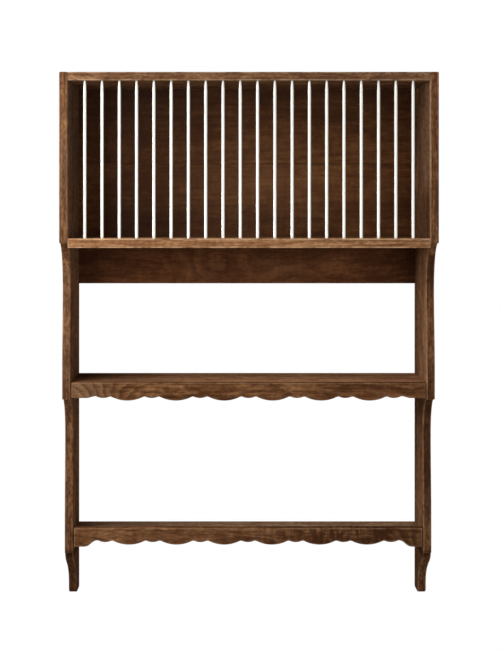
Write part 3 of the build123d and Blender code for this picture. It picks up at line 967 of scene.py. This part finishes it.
dowelWood = woodMaterial("dowelWood", {
    "light": "d9b98c", "middle": "c79f70", "red": "bd9263", "dark": "a9804f", "pore": "8d673f",
    "spacing": 0.002,
})
hiddenPieces = {
    "mid_dowels": dowelWood, "lower_dowels": dowelWood,
    "left_side_screws": dullZinc, "right_side_screws": dullZinc,
}
for node, material in hiddenPieces.items():
    nodes[node].data.materials.clear()
    nodes[node].data.materials.append(material)
print("fittings finished")


# Studio: a pale floor far below the rack, white surroundings and six soft lamps

studio = {
    "floorLevel": -2.0,
    "floorSize": 3.8,
    "floorColour": "e9e8e6",
    "floorGlow": 0.4,
    "ambient": 0.22,
    "lamps": {
        "nearLamp": {"place": (-0.97, -0.69, 0.45), "aim": (0.1, -0.1, -0.5), "size": 0.4, "power": 8.4},
        "bandLamp": {"place": (-0.75, -1.0, -0.15), "aim": (0.2, -0.15, -0.15), "size": 0.3, "power": 4.5},
        "sideLamp": {"place": (-2.4, -0.36, -0.35), "aim": (0.0, -0.2, -0.5), "size": 0.3, "power": 16.0},
        "frontLamp": {"place": (1.3, -3.1, -0.5), "aim": (0.0, 0.0, -0.5), "size": 2.0, "power": 26.0},
        "rearLamp": {"place": (0.0, 2.4, -1.6), "aim": (0.0, 0.0, -0.5), "size": 1.5, "power": 16.0},
        "rightLamp": {"place": (2.4, -0.04, -0.45), "aim": (0.4, -0.04, -0.45), "size": 0.3, "power": 14.0},
    },
}

floorMaterial, floorTree = newMaterial("studioFloor")
toCamera = floorTree.nodes.new("ShaderNodeLightPath").outputs["Is Camera Ray"]
finishMaterial(floorTree, {
    "Base Color": linear(studio["floorColour"]), "Roughness": 0.9,
    "Emission Color": linear(studio["floorColour"]),
    "Emission Strength": sums(floorTree, "MULTIPLY", toCamera, studio["floorGlow"]),
})
floorShape = bmesh.new()
bmesh.ops.create_grid(floorShape, x_segments=1, y_segments=1, size=studio["floorSize"] / 2)
bmesh.ops.translate(floorShape, vec=(0.0, 0.0, studio["floorLevel"]), verts=floorShape.verts)
floorMesh = bpy.data.meshes.new("studioFloor")
floorShape.to_mesh(floorMesh)
floorShape.free()
floorMesh.materials.append(floorMaterial)
floor = bpy.data.objects.new("studioFloor", floorMesh)
bpy.context.scene.collection.objects.link(floor)

world = bpy.data.worlds.new("studioWorld")
bpy.context.scene.world = world
world.use_nodes = True
sky = world.node_tree
sky.nodes.clear()
path = sky.nodes.new("ShaderNodeLightPath").outputs
mirrored = sums(sky, "MAXIMUM", path["Is Glossy Ray"], path["Is Transmission Ray"])
seen = sums(sky, "MAXIMUM", path["Is Camera Ray"], mirrored)
strength = ramp(sky, seen, 0.0, 1.0, studio["ambient"], 1.0)
white = {"Color": (1.0, 1.0, 1.0, 1.0), "Strength": strength}
light = place(sky, "ShaderNodeBackground", {}, white)
place(sky, "ShaderNodeOutputWorld", {}, {"Surface": light.outputs[0]})

for name, settings in studio["lamps"].items():
    lamp = bpy.data.lights.new(name, "AREA")
    lamp.shape = "DISK"
    lamp.size = settings["size"]
    lamp.energy = settings["power"]
    shown = bpy.data.objects.new(name, lamp)
    bpy.context.scene.collection.objects.link(shown)
    turn = (Vector(settings["aim"]) - Vector(settings["place"])).to_track_quat("-Z", "Y")
    shown.matrix_world = Matrix.Translation(settings["place"]) @ turn.to_matrix().to_4x4()
print("studio lit")


# Camera, square on to the rack and level

view = {
    "place": (-0.0596, -2.627, -0.2536),
    "lens": 63.85,
    "sensor": 36.0,
    "shift": (0.045, -0.1692),
}
camera = bpy.data.cameras.new("camera")
camera.sensor_width = view["sensor"]
camera.lens = view["lens"]
camera.shift_x, camera.shift_y = view["shift"]
cameraObject = bpy.data.objects.new("camera", camera)
bpy.context.scene.collection.objects.link(cameraObject)
cameraObject.matrix_world = Matrix.Translation(view["place"]) @ Matrix.Rotation(math.pi / 2, 4, "X")
bpy.context.scene.camera = cameraObject
bpy.context.scene.view_settings.view_transform = "Standard"
print("camera set")
